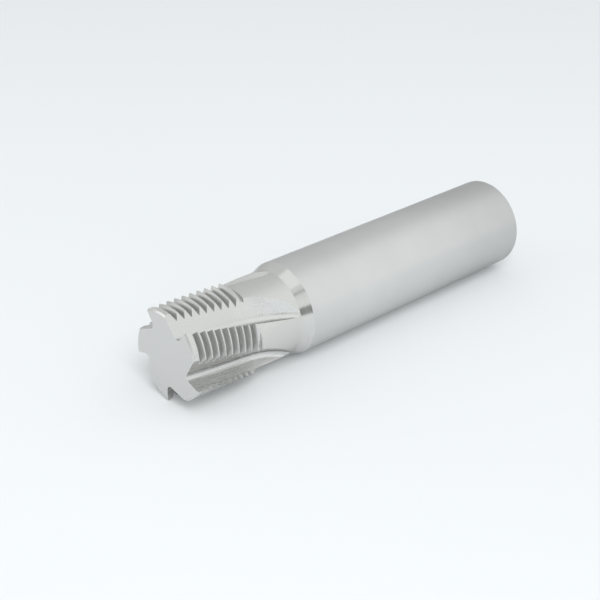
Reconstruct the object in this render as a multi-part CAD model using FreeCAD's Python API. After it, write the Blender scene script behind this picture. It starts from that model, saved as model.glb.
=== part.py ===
import FreeCAD, Part
import math
import os

# Solid carbide thread milling cutter, ground all over from one rod.
# Millimetres and degrees. The tool stands on the end of its shank, with its axis on +Z and its
# cutting end at the top. "Back" is the distance from the front face down along the axis.

# Shank, neck and the cone between them
shank_diameter = 16.0
overall_length = 75.0
shank_end_chamfer = 0.6
neck_diameter = 14.5
neck_end_back = 21.5
cone_length = 1.95

# Thread form: rings with no lead, so that the tool's path gives the thread its lead
cutting_diameter = 16.0
pitch = 1.25
full_grooves = 9
flank_angle = 30.0
crest_flat = 0.16
root_flat = 0.16
front_bevel_length = 0.2
front_bevel_depth = 0.3
first_crest_width = 0.78
last_groove_depth = 0.48
last_groove_length = 0.87

# Flutes: right-hand helix, right-hand cut
flute_count = 5
helix_angle = 13.4
first_edge_angle = 16.2
core_diameter = 10.1
gullet_radius = 0.9
heel_slope = 11.0
relief_angle = 9.5
run_out_to_cone = 0.1

# Room that the grinding cuts have round the metal, in millimetres
blank_allowance = 0.3
groove_cut_rise = 0.08
overrun = 1.0

# Cross sections that a curved cut is carried through, and arcs in a gullet
flute_sections = 5
run_out_sections = 6
relief_sections = 6
gullet_arcs = 3

shank_radius = shank_diameter / 2
neck_radius = neck_diameter / 2
cutting_radius = cutting_diameter / 2
core_radius = core_diameter / 2
blank_radius = cutting_radius + blank_allowance
clear_radius = blank_radius + overrun

# Places along the axis, measured back from the front face
first_groove_back = front_bevel_length + first_crest_width
last_groove_back = first_groove_back + full_grooves * pitch
neck_start_back = last_groove_back + last_groove_length
shank_start_back = neck_end_back + cone_length

# One V groove between two crests
groove_width = pitch - crest_flat
flank_run = math.tan(math.radians(flank_angle))
groove_depth = (groove_width - root_flat) / 2 / flank_run

# Across the axis, a tooth's cutting edge lies on the X axis of its own section and the flute
# lies ahead of it, on the side of +Y. The gullet is tangent to the rake and to the heel.
tooth_step = 360.0 / flute_count
twist = math.degrees(math.tan(math.radians(helix_angle)) / cutting_radius)
slope = math.radians(heel_slope)
gullet_x = math.sqrt((core_radius + gullet_radius) ** 2 - gullet_radius ** 2)
heel_foot_x = gullet_x - gullet_radius * math.cos(slope)
heel_foot_y = gullet_radius + gullet_radius * math.sin(slope)

# Angle that the flute takes up at the cutting circle, and the land behind each edge
foot_along = heel_foot_x * math.sin(slope) + heel_foot_y * math.cos(slope)
foot_radius = math.hypot(heel_foot_x, heel_foot_y)
heel_length = math.sqrt(foot_along ** 2 + cutting_radius ** 2 - foot_radius ** 2) - foot_along
heel_top_x = heel_foot_x + heel_length * math.sin(slope)
heel_top_y = heel_foot_y + heel_length * math.cos(slope)
flute_angle = math.degrees(math.atan2(heel_top_y, heel_top_x))
land_angle = tooth_step - flute_angle

# A cut round a land starts in the flute ahead of it and ends in the flute behind it. It turns
# about the relief axis, from where the heel lies further round by about the relief angle.
lead_room = flute_angle / 3
heel_room = flute_angle / 3 + relief_angle

# Each land is ground about an axis beside the tool's own, and so falls away behind its edge
relief_offset = cutting_radius * math.tan(math.radians(relief_angle))
relief_radius = math.hypot(cutting_radius, relief_offset)

# The wheel lifts out of the flutes along the neck, on an arc that ends short of the cone
run_out_start_back = last_groove_back
run_out_length = neck_end_back - run_out_to_cone - run_out_start_back
flute_depth_in_neck = neck_radius - core_radius
run_out_radius = (run_out_length ** 2 / flute_depth_in_neck + flute_depth_in_neck) / 2
full_lift = flute_depth_in_neck + blank_allowance
full_travel = math.sqrt(2 * run_out_radius * full_lift - full_lift ** 2)

origin = FreeCAD.Vector(0, 0, 0)
up = FreeCAD.Vector(0, 0, 1)
teeth = range(flute_count)


def height(back):
    """Height above the shank's end of a place this far back from the front face."""
    return overall_length - back


def edge_angle(tooth, back):
    """Direction of a tooth's cutting edge, which the helix turns as it runs back."""
    return first_edge_angle + tooth * tooth_step - twist * back


def closed_wire(points):
    """Straight edges through the points and back to the first."""
    return Part.makePolygon(points + points[:1])


def ground_blank():
    """Round rod with its shank, cone and neck to size and its cutting head still too large."""
    outline = [
        (0, 0),
        (shank_radius - shank_end_chamfer, 0),
        (shank_radius, shank_end_chamfer),
        (shank_radius, height(shank_start_back)),
        (neck_radius, height(neck_end_back)),
        (neck_radius, height(neck_start_back)),
        (blank_radius, height(neck_start_back)),
        (blank_radius, height(0)),
        (0, height(0)),
    ]
    profile = Part.Face(closed_wire([FreeCAD.Vector(r, 0, z) for r, z in outline]))
    return profile.revolve(origin, up, 360)


def flute_section(tooth, back, lift):
    """What the wheel takes across the axis: straight rake, round gullet, sloping heel."""
    top_x = heel_foot_x + clear_radius * math.sin(slope)
    top_y = heel_foot_y + clear_radius * math.cos(slope)

    def place(x, y):
        return FreeCAD.Vector(x + lift, y, height(back))

    def on_gullet(share):
        turn = share * (math.pi / 2 + slope)
        x = gullet_x - gullet_radius * math.sin(turn)
        y = gullet_radius - gullet_radius * math.cos(turn)
        return place(x, y)

    rake_top = place(clear_radius + overrun, 0)
    heel_top = place(top_x, top_y)
    edges = [Part.makeLine(rake_top, on_gullet(0))]
    for arc in range(gullet_arcs):
        start = on_gullet(arc / gullet_arcs)
        middle = on_gullet((arc + 0.5) / gullet_arcs)
        end = on_gullet((arc + 1) / gullet_arcs)
        edges.append(Part.Arc(start, middle, end).toShape())
    edges.append(Part.makeLine(on_gullet(1), heel_top))
    edges.append(Part.makeLine(heel_top, rake_top))
    section = Part.Wire(edges)
    section.rotate(origin, up, edge_angle(tooth, back))
    return section


def flute(tooth):
    """Helical flute, at full depth beside the thread form and lifting out along the neck."""
    sections = []
    for step in range(flute_sections):
        back = -overrun + (run_out_start_back + overrun) * step / flute_sections
        sections.append(flute_section(tooth, back, 0))
    for step in range(run_out_sections + 1):
        travel = full_travel * step / run_out_sections
        lift = run_out_radius - math.sqrt(run_out_radius ** 2 - travel ** 2)
        sections.append(flute_section(tooth, run_out_start_back + travel, lift))
    return Part.makeLoft(sections, True)


def relief_centre(tooth, back):
    """Point on the axis that a land is ground about, a quarter turn ahead of its edge."""
    ahead = math.radians(edge_angle(tooth, back) + 90)
    x = relief_offset * math.cos(ahead)
    y = relief_offset * math.sin(ahead)
    return FreeCAD.Vector(x, y, height(back))


def relief_section(tooth, back):
    """Band outside one relieved land, across the axis."""
    centre = relief_centre(tooth, back)
    lead = edge_angle(tooth, back) + lead_room
    trail = edge_angle(tooth, back) - land_angle - heel_room
    middle = (lead + trail) / 2
    clear = relief_radius + relief_offset + overrun

    def place(radius, angle):
        direction = math.radians(angle)
        return centre + FreeCAD.Vector(math.cos(direction), math.sin(direction), 0) * radius

    inside = [place(relief_radius, angle) for angle in (lead, middle, trail)]
    outside = [place(clear, angle) for angle in (trail, middle, lead)]
    return Part.Wire([
        Part.Arc(*inside).toShape(),
        Part.makeLine(inside[2], outside[0]),
        Part.Arc(*outside).toShape(),
        Part.makeLine(outside[2], inside[0]),
    ])


def land_relief(tooth):
    """Cut that brings one land of the oversize head down to its relieved crest."""
    length = neck_start_back + overrun
    backs = [-overrun + length * step / relief_sections for step in range(relief_sections + 1)]
    return Part.makeLoft([relief_section(tooth, back) for back in backs], True)


def ring_cut(tooth, back, outline):
    """Cut round one land, with an outline of depth below the crest and distance back."""
    centre = relief_centre(tooth, back)
    points = [FreeCAD.Vector(relief_radius - depth, 0, height(place)) for depth, place in outline]
    profile = Part.Face(closed_wire(points))
    profile.rotate(origin, up, edge_angle(tooth, back) + lead_room)
    profile.translate(FreeCAD.Vector(centre.x, centre.y, 0))
    return profile.revolve(centre, up, -(lead_room + land_angle + heel_room))


def front_bevel(tooth):
    """Bevel from the front face up to the first crest."""
    rise = front_bevel_length / front_bevel_depth
    outline = [
        (front_bevel_depth + overrun, -overrun * rise),
        (-overrun, front_bevel_length + overrun * rise),
        (-overrun, -overrun * rise),
    ]
    return ring_cut(tooth, 0, outline)


def thread_groove(tooth, number):
    """One V groove of the thread form, with a small flat at its root."""
    start = first_groove_back + number * pitch
    middle = start + groove_width / 2
    spread = groove_cut_rise * flank_run
    outline = [
        (-groove_cut_rise, start - spread),
        (groove_depth, middle - root_flat / 2),
        (groove_depth, middle + root_flat / 2),
        (-groove_cut_rise, start + groove_width + spread),
    ]
    return ring_cut(tooth, middle, outline)


def last_groove(tooth):
    """Shallow end of the thread form: the last crest's rear flank and a flat up to the neck."""
    outline = [
        (-groove_cut_rise, last_groove_back - groove_cut_rise * flank_run),
        (last_groove_depth, last_groove_back + last_groove_depth * flank_run),
        (last_groove_depth, neck_start_back),
        (-groove_cut_rise, neck_start_back),
    ]
    return ring_cut(tooth, last_groove_back, outline)


def thread_mill():
    """The tool in the order that it is ground: flutes, relief, front bevel, thread form."""
    tool = ground_blank()
    tool = tool.cut([flute(tooth) for tooth in teeth])
    tool = tool.cut([land_relief(tooth) for tooth in teeth])
    tool = tool.cut([front_bevel(tooth) for tooth in teeth])
    grooves = [last_groove(tooth) for tooth in teeth]
    for number in range(full_grooves):
        grooves += [thread_groove(tooth, number) for tooth in teeth]
    return tool.cut(grooves)


tool = thread_mill()
print("solids", len(tool.Solids), "valid", tool.isValid(), "volume", round(tool.Volume, 1))
os.makedirs("parts", exist_ok=True)
tool.Solids[0].exportStep("parts/thread_mill.step")
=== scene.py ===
import math

import bmesh
import bpy
from mathutils import Matrix, Vector

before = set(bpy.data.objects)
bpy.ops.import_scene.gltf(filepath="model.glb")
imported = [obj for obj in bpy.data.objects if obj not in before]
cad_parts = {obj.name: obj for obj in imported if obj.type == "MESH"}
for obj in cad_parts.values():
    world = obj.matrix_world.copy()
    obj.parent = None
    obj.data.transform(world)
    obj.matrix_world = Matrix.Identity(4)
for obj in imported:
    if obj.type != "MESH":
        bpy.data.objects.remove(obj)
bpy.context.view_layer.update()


# The tool: one piece of fine-grained cemented carbide, ground all over from a sintered rod and not
# coated. Each grinding step leaves its own lay of fine lines and its own sheen, so each kind of
# surface has a finish of its own, given to the solid's faces by where they are and how they face.
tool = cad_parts["thread_mill"]
tool.data.materials.clear()

MM = 0.001
shank_radius = 8.0 * MM
neck_radius = 7.25 * MM
cone_foot = 51.55 * MM
cone_top = 53.5 * MM
head_foot = 61.9 * MM
bevel_foot = 74.8 * MM

carbide_grey = (0.69, 0.685, 0.67, 1.0)
carbide_cool = (0.66, 0.655, 0.645, 1.0)
carbide_edge = (0.7, 0.7, 0.7, 1.0)

# Nearly all of a noise lies between these two values
noise_low = 0.3
noise_high = 0.7


def new_metal(name, roughness, edge=None):
    """A ground metal with no grain yet, and its node tree. A metal with an edge colour is tinted
    by it where it is seen at a grazing angle."""
    metal = bpy.data.materials.new(name)
    metal.use_nodes = True
    tree = metal.node_tree
    shader = tree.nodes["Principled BSDF"]
    shader.inputs["Metallic"].default_value = 1.0
    shader.inputs["Roughness"].default_value = roughness
    shader.inputs["Base Color"].default_value = carbide_grey
    if edge:
        shader.inputs["Specular Tint"].default_value = edge
    return metal, tree


def place_on_tool(tree):
    """Position in the tool's own frame."""
    return tree.nodes.new("ShaderNodeTexCoord").outputs["Object"]


def grain(tree, place, size):
    """The position in units of one grain, whose size is given in mm along each axis."""
    made = tree.nodes.new("ShaderNodeVectorMath")
    made.operation = "MULTIPLY"
    made.inputs[1].default_value = [1 / (length * MM) for length in size]
    tree.links.new(place, made.inputs[0])
    return made.outputs[0]


def lines_round(tree, spacing, length):
    """Grain of lines that run round the tool, with their spacing and length in mm."""
    return grain(tree, place_on_tool(tree), (length, length, spacing))


def noise(tree, vector, detail=3.0, rough=0.6):
    """Noise of about one blotch per unit of the vector."""
    made = tree.nodes.new("ShaderNodeTexNoise")
    made.inputs["Scale"].default_value = 1.0
    made.inputs["Detail"].default_value = detail
    made.inputs["Roughness"].default_value = rough
    tree.links.new(vector, made.inputs["Vector"])
    return made.outputs["Fac"]


def spread(tree, value, low, high, start=noise_low, end=noise_high):
    """The value between start and end, stretched to run from low to high."""
    made = tree.nodes.new("ShaderNodeMapRange")
    made.inputs["From Min"].default_value = start
    made.inputs["From Max"].default_value = end
    made.inputs["To Min"].default_value = low
    made.inputs["To Max"].default_value = high
    tree.links.new(value, made.inputs["Value"])
    return made.outputs["Result"]


def tint(tree, value, shade, light):
    """A colour that runs from shade to light as a noise rises."""
    ramp = tree.nodes.new("ShaderNodeValToRGB")
    ramp.color_ramp.elements[0].position = noise_low
    ramp.color_ramp.elements[0].color = shade
    ramp.color_ramp.elements[1].position = noise_high
    ramp.color_ramp.elements[1].color = light
    tree.links.new(value, ramp.inputs["Fac"])
    return ramp.outputs["Color"]


def along_tool(tree, colour, low, high, start, end):
    """The colour times a number that runs from low to high between two heights on the tool."""
    place = tree.nodes.new("ShaderNodeSeparateXYZ")
    tree.links.new(place_on_tool(tree), place.inputs[0])
    factor = spread(tree, place.outputs["Z"], low, high, start, end)
    scaled = tree.nodes.new("ShaderNodeVectorMath")
    scaled.operation = "SCALE"
    tree.links.new(colour, scaled.inputs[0])
    tree.links.new(factor, scaled.inputs["Scale"])
    return scaled.outputs[0]


def scored(tree, value, depth):
    """Fine relief, depth in mm between the noise's lows and highs."""
    relief = tree.nodes.new("ShaderNodeBump")
    relief.inputs["Strength"].default_value = 1.0
    relief.inputs["Distance"].default_value = depth * MM
    tree.links.new(value, relief.inputs["Height"])
    return relief.outputs["Normal"]


def dress(tree, colour, roughness, relief=None):
    """Join a colour, a roughness and a relief to the metal's shader."""
    shader = tree.nodes["Principled BSDF"]
    tree.links.new(colour, shader.inputs["Base Color"])
    tree.links.new(roughness, shader.inputs["Roughness"])
    if relief:
        tree.links.new(relief, shader.inputs["Normal"])


# Shank: centreless ground to a plain cylinder, with fine lines round it and an even satin sheen.
# Its colour is darkened towards the end, a painted shade.
shank_light = (0.70, 0.70, 0.693, 1.0)
shank_shade = (0.67, 0.67, 0.663, 1.0)
shank_painted_shade_length = 28.0 * MM
shank_metal, tree = new_metal("shank_ground", 0.3, edge=carbide_edge)
lines = noise(tree, lines_round(tree, spacing=0.12, length=14.0), detail=2.0, rough=0.5)
patches = noise(tree, lines_round(tree, spacing=7.0, length=9.0), detail=2.0)
colour = tint(tree, patches, shank_shade, shank_light)
# Painted shade: the colour darkens towards the shank's end
colour = along_tool(tree, colour, low=0.83, high=1.0, start=0.0, end=shank_painted_shade_length)
roughness = spread(tree, lines, low=0.28, high=0.34)
dress(tree, colour, roughness, scored(tree, lines, depth=0.0002))

# Neck: plunge ground beside the shank and polished brighter, with finer lines.
neck_light = (0.69, 0.685, 0.66, 1.0)
neck_shade = (0.66, 0.655, 0.635, 1.0)
neck_metal, tree = new_metal("neck_polished", 0.24, edge=carbide_edge)
lines = noise(tree, lines_round(tree, spacing=0.1, length=7.0))
colour = tint(tree, lines, neck_shade, neck_light)
roughness = spread(tree, lines, low=0.22, high=0.27)
dress(tree, colour, roughness, scored(tree, lines, depth=0.0002))

# Cone: left by the corner of the wheel, with the brightest polish on the tool.
cone_light = (0.705, 0.70, 0.68, 1.0)
cone_metal, tree = new_metal("cone_polished", 0.15, edge=carbide_edge)
lines = noise(tree, lines_round(tree, spacing=0.2, length=5.0))
colour = tint(tree, lines, carbide_cool, cone_light)
dress(tree, colour, spread(tree, lines, low=0.14, high=0.19))

# Flutes: the wheel runs along the helix and leaves streaks down the rake, gullet and heel. It
# lifts out along the neck, where the colour is lightened, a painted light.
helix_angle = 13.4
flute_painted_light_to = 58.0 * MM
flute_even_from = 66.0 * MM


def lines_down_helix(tree, spacing, length):
    """Grain of lines that follow the flutes' helix, with their spacing and length in mm."""
    place = place_on_tool(tree)
    height = tree.nodes.new("ShaderNodeSeparateXYZ")
    tree.links.new(place, height.inputs[0])
    turn = tree.nodes.new("ShaderNodeMath")
    turn.operation = "MULTIPLY"
    turn.inputs[1].default_value = -math.tan(math.radians(helix_angle)) / shank_radius
    tree.links.new(height.outputs["Z"], turn.inputs[0])
    untwisted = tree.nodes.new("ShaderNodeVectorRotate")
    untwisted.rotation_type = "Z_AXIS"
    tree.links.new(place, untwisted.inputs["Vector"])
    tree.links.new(turn.outputs[0], untwisted.inputs["Angle"])
    return grain(tree, untwisted.outputs[0], (spacing, spacing, length))


flute_metal, tree = new_metal("flute_streaked", 0.22, edge=carbide_edge)
streaks = noise(tree, lines_down_helix(tree, spacing=0.3, length=14.0))
fine_lines = noise(tree, lines_down_helix(tree, spacing=0.09, length=5.0))
colour = tint(tree, streaks, carbide_cool, carbide_grey)
# Painted light: the flute's colour is lighter along the neck
colour = along_tool(tree, colour, low=1.08, high=1.0, start=flute_painted_light_to, end=flute_even_from)
roughness = spread(tree, streaks, low=0.2, high=0.3)
dress(tree, colour, roughness, scored(tree, fine_lines, depth=0.0001))

# Rakes: lapped last, on a fine resin wheel. Their colour is darker than the rest of the flute, a
# painted shade, and lighter where they start above the neck, a painted light.
carbide_painted_half_shade = (0.59, 0.59, 0.575, 1.0)
rake_painted_shade = (0.48, 0.48, 0.465, 1.0)
rake_even_from = 65.0 * MM
rake_metal, tree = new_metal("rake_lapped_painted_shade", 0.24)
streaks = noise(tree, lines_down_helix(tree, spacing=0.2, length=6.0))
colour = tint(tree, streaks, rake_painted_shade, carbide_painted_half_shade)
# Painted light: the rake's colour is lighter where it starts above the neck
colour = along_tool(tree, colour, low=1.2, high=1.0, start=head_foot, end=rake_even_from)
roughness = spread(tree, streaks, low=0.22, high=0.3)
dress(tree, colour, roughness, scored(tree, streaks, depth=0.0005))

# Lands and crests: profile ground round the axis, crisp and bright.
land_metal, tree = new_metal("thread_form_ground", 0.26)
lines = noise(tree, lines_round(tree, spacing=0.07, length=4.0))
colour = tint(tree, lines, carbide_cool, carbide_grey)
roughness = spread(tree, lines, low=0.2, high=0.32)
dress(tree, colour, roughness, scored(tree, lines, depth=0.0008))

# Flanks of the thread form: ground with the dressed wheel's edge and a little rougher. Their
# colour is darker, a painted shade of the deep grooves.
flank_painted_shade = (0.42, 0.42, 0.405, 1.0)
flank_metal, tree = new_metal("flank_ground_painted_shade", 0.3)
lines = noise(tree, lines_round(tree, spacing=0.06, length=3.0))
# Painted shade: the flanks run between two dark colours
colour = tint(tree, lines, flank_painted_shade, carbide_painted_half_shade)
roughness = spread(tree, lines, low=0.25, high=0.36)
dress(tree, colour, roughness, scored(tree, lines, depth=0.0008))

# Front face and shank end: faced with a cup wheel, matter than the rest, with faint straight lines.
line_direction = 25
line_spacing = 0.12
line_length = 3.0
face_metal, tree = new_metal("end_faced", 0.45)
turned = tree.nodes.new("ShaderNodeVectorRotate")
turned.rotation_type = "Z_AXIS"
turned.inputs["Angle"].default_value = math.radians(line_direction)
tree.links.new(place_on_tool(tree), turned.inputs["Vector"])
lines = noise(tree, grain(tree, turned.outputs[0], (line_spacing, line_length, line_length)))
colour = tint(tree, lines, carbide_cool, carbide_grey)
roughness = spread(tree, lines, low=0.4, high=0.5)
dress(tree, colour, roughness, scored(tree, lines, depth=0.001))

finishes = [shank_metal, cone_metal, neck_metal, flute_metal, rake_metal, land_metal, flank_metal,
            face_metal]
for finish in finishes:
    tool.data.materials.append(finish)
SHANK, CONE, NECK, FLUTE, RAKE, LAND, FLANK, FACE = range(len(finishes))

# How squarely a face looks along, out from or round the axis to be each kind, as a cosine
end_along = 0.99
flank_along = 0.5
neck_out = 0.99
land_out = 0.93
rake_round = 0.85

# Radii that every corner of a face on the neck's cylinder, or on a land, lies outside of
neck_skin = neck_radius - 0.02 * MM
land_foot = 6.2 * MM


def kind_of(face):
    """The finish of a face of the solid, by its place on the tool and the way that it faces."""
    corners = [tool.data.vertices[number].co for number in face.vertices]
    inmost = min(corner.xy.length for corner in corners)
    outward = Vector((face.center.x, face.center.y, 0)).normalized()
    facing_along = abs(face.normal.z)
    facing_out = face.normal.dot(outward)
    facing_round = face.normal.dot(Vector((0, 0, 1)).cross(outward))
    height = face.center.z
    in_flute = RAKE if facing_round > rake_round and height > head_foot else FLUTE
    if facing_along > end_along:
        return FACE
    if height < cone_foot:
        return SHANK
    if height < cone_top:
        return CONE
    if height < head_foot:
        return NECK if inmost > neck_skin and facing_out > neck_out else in_flute
    if height > bevel_foot:
        return LAND
    if facing_along > flank_along:
        return FLANK
    return LAND if facing_out > land_out and inmost > land_foot else in_flute


for face in tool.data.polygons:
    face.material_index = kind_of(face)


# The floor: a sheet of plain white paper, which the tool lies along in the photograph. The tool
# stands on its shank end here, so the sheet stands on edge and touches the shank along one line.
# Seen from behind, the sheet lets the view through, so that it hides no side of the tool.
floor_side = Vector((0.584, 0.812, 0.0)).normalized()
floor_edge = floor_side.cross(Vector((0, 0, 1)))
sheet_half_width = 0.5
sheet_half_length = 0.36
sheet_middle = -0.21
paper_white = (0.73, 0.75, 0.765, 1.0)
paper_glow = (0.885, 0.91, 0.925, 1.0)
glow_share = 0.12

mesh = bpy.data.meshes.new("pale_floor")
shape = bmesh.new()
bmesh.ops.create_grid(shape, x_segments=1, y_segments=1, size=1.0)
bmesh.ops.scale(shape, vec=(sheet_half_width, sheet_half_length, 1.0), verts=shape.verts)
bmesh.ops.translate(shape, vec=(0, sheet_middle, -shank_radius), verts=shape.verts)
turn = Matrix((-floor_edge, Vector((0, 0, 1)), floor_side)).transposed().to_4x4()
bmesh.ops.transform(shape, matrix=turn, verts=shape.verts)
shape.to_mesh(mesh)
shape.free()
floor = bpy.data.objects.new("pale_floor", mesh)
bpy.context.scene.collection.objects.link(floor)

sheet = bpy.data.materials.new("paper_sheet")
sheet.use_nodes = True
nodes = sheet.node_tree.nodes
links = sheet.node_tree.links
nodes.remove(nodes["Principled BSDF"])
paper = nodes.new("ShaderNodeBsdfDiffuse")
paper.inputs["Color"].default_value = paper_white
glow = nodes.new("ShaderNodeEmission")
glow.inputs["Color"].default_value = paper_glow
rays = nodes.new("ShaderNodeLightPath")
direct = nodes.new("ShaderNodeMath")
direct.operation = "MAXIMUM"
links.new(rays.outputs["Is Camera Ray"], direct.inputs[0])
links.new(rays.outputs["Is Glossy Ray"], direct.inputs[1])
seen = nodes.new("ShaderNodeMath")
seen.operation = "MAXIMUM"
links.new(direct.outputs[0], seen.inputs[0])
links.new(rays.outputs["Is Transmission Ray"], seen.inputs[1])
share = nodes.new("ShaderNodeMath")
share.operation = "MULTIPLY"
share.inputs[1].default_value = glow_share
links.new(seen.outputs[0], share.inputs[0])
front = nodes.new("ShaderNodeMixShader")
links.new(share.outputs[0], front.inputs["Fac"])
links.new(paper.outputs[0], front.inputs[1])
links.new(glow.outputs[0], front.inputs[2])
clear = nodes.new("ShaderNodeBsdfTransparent")
side = nodes.new("ShaderNodeNewGeometry")
both = nodes.new("ShaderNodeMixShader")
links.new(side.outputs["Backfacing"], both.inputs["Fac"])
links.new(front.outputs[0], both.inputs[1])
links.new(clear.outputs[0], both.inputs[2])
links.new(both.outputs[0], nodes["Material Output"].inputs["Surface"])
floor.data.materials.append(sheet)


# The light: a pale room, softly bright all round and a little more so on the camera's right hand,
# with soft lamps overhead and at the front left. A third lamp lightens the sheet alone, and the
# metal doesn't mirror it.
room_white = (0.965, 0.99, 0.99, 1.0)
room_dimmest = 0.75
room_brightest = 1.02
dimmest_below = 0.2
brightest_above = 0.8
tool_middle = Vector((0, 0, 37.5 * MM))


def towards(rise, round_from_front):
    """Direction, rise degrees above the sheet and so far round from the tool's cutting end."""
    level = math.cos(math.radians(rise))
    ahead = Vector((0, 0, 1)) * level * math.cos(math.radians(round_from_front))
    aside = floor_edge * level * math.sin(math.radians(round_from_front))
    return floor_side * math.sin(math.radians(rise)) + ahead + aside


room = bpy.data.worlds.new("pale_room")
room.use_nodes = True
nodes = room.node_tree.nodes
links = room.node_tree.links
facing = nodes.new("ShaderNodeVectorMath")
facing.operation = "DOT_PRODUCT"
facing.inputs[1].default_value = towards(rise=10, round_from_front=135)
links.new(nodes.new("ShaderNodeTexCoord").outputs["Generated"], facing.inputs[0])
level = nodes.new("ShaderNodeMapRange")
level.interpolation_type = "SMOOTHSTEP"
level.inputs["From Min"].default_value = dimmest_below
level.inputs["From Max"].default_value = brightest_above
level.inputs["To Min"].default_value = room_dimmest
level.inputs["To Max"].default_value = room_brightest
links.new(facing.outputs["Value"], level.inputs["Value"])
links.new(level.outputs["Result"], nodes["Background"].inputs["Strength"])
nodes["Background"].inputs["Color"].default_value = room_white
bpy.context.scene.world = room


def lamp(name, direction, away, size, energy):
    """Round soft lamp, in that direction and so far away from the middle of the tool."""
    data = bpy.data.lights.new(name, "AREA")
    data.shape = "DISK"
    data.size = size
    data.energy = energy
    made = bpy.data.objects.new(name, data)
    bpy.context.scene.collection.objects.link(made)
    made.location = tool_middle + direction * away
    made.rotation_euler = (-direction).to_track_quat("-Z", "Y").to_euler()
    return made


lamp("lamp_over", towards(90, 0), away=0.6, size=0.5, energy=0.17)
lamp("lamp_left", towards(20, -32), away=0.7, size=0.6, energy=0.54)
lamp_sheet = lamp("lamp_sheet", towards(50, 60), away=0.7, size=0.4, energy=2.6)
lamp_sheet.visible_glossy = False


# The cards: two small cards stand off to the right of the tool, out of the picture. The cone is
# polished and shows them as a dark and a grey square, as it does in the photograph.
card_dark = (0.22, 0.22, 0.22, 1.0)
card_grey = (0.55, 0.55, 0.55, 1.0)
card_away = 0.25
cone_middle = Vector((0, 0, 52.5 * MM))


def card(name, direction, width, height, colour):
    """Card in that direction from the cone, square on to it, and never in the picture itself."""
    mesh = bpy.data.meshes.new(name)
    shape = bmesh.new()
    bmesh.ops.create_grid(shape, x_segments=1, y_segments=1, size=1.0)
    bmesh.ops.scale(shape, vec=(width / 2, height / 2, 1), verts=shape.verts)
    across = floor_side.cross(direction).normalized()
    turn = Matrix((across, direction.cross(across), -direction)).transposed().to_4x4()
    bmesh.ops.transform(shape, matrix=turn, verts=shape.verts)
    bmesh.ops.translate(shape, vec=cone_middle + direction * card_away, verts=shape.verts)
    shape.to_mesh(mesh)
    shape.free()
    made = bpy.data.objects.new(name, mesh)
    bpy.context.scene.collection.objects.link(made)
    board = bpy.data.materials.new(name + "_board")
    board.use_nodes = True
    shader = board.node_tree.nodes["Principled BSDF"]
    shader.inputs["Base Color"].default_value = colour
    shader.inputs["Roughness"].default_value = 1.0
    made.data.materials.append(board)
    made.visible_camera = False


card("card_dark", towards(10.5, 86), width=0.034, height=0.078, colour=card_dark)
card("card_grey", towards(52, 82), width=0.03, height=0.03, colour=card_grey)


# The camera: placed and turned as the photograph's was, worked out from the tool's outline in it.
# It has a long lens and stands a little above the cutting end, with the sheet's side down.
camera_place = Vector((0.16354, 0.0, 0.16868))
camera_aim = Vector((-0.01315, 0.00008, 0.03761))
back = (camera_place - camera_aim).normalized()
right = floor_side.cross(back).normalized()
upward = back.cross(right)
lens = bpy.data.cameras.new("photo_camera")
lens.lens = 73.58
lens.sensor_width = 36.0
lens.clip_start = 0.01
camera = bpy.data.objects.new("photo_camera", lens)
bpy.context.scene.collection.objects.link(camera)
turned = Matrix((right, upward, back)).transposed().to_4x4()
camera.matrix_world = Matrix.Translation(camera_place) @ turned
bpy.context.scene.camera = camera
bpy.context.scene.view_settings.view_transform = "Standard"

bpy.context.view_layer.update()
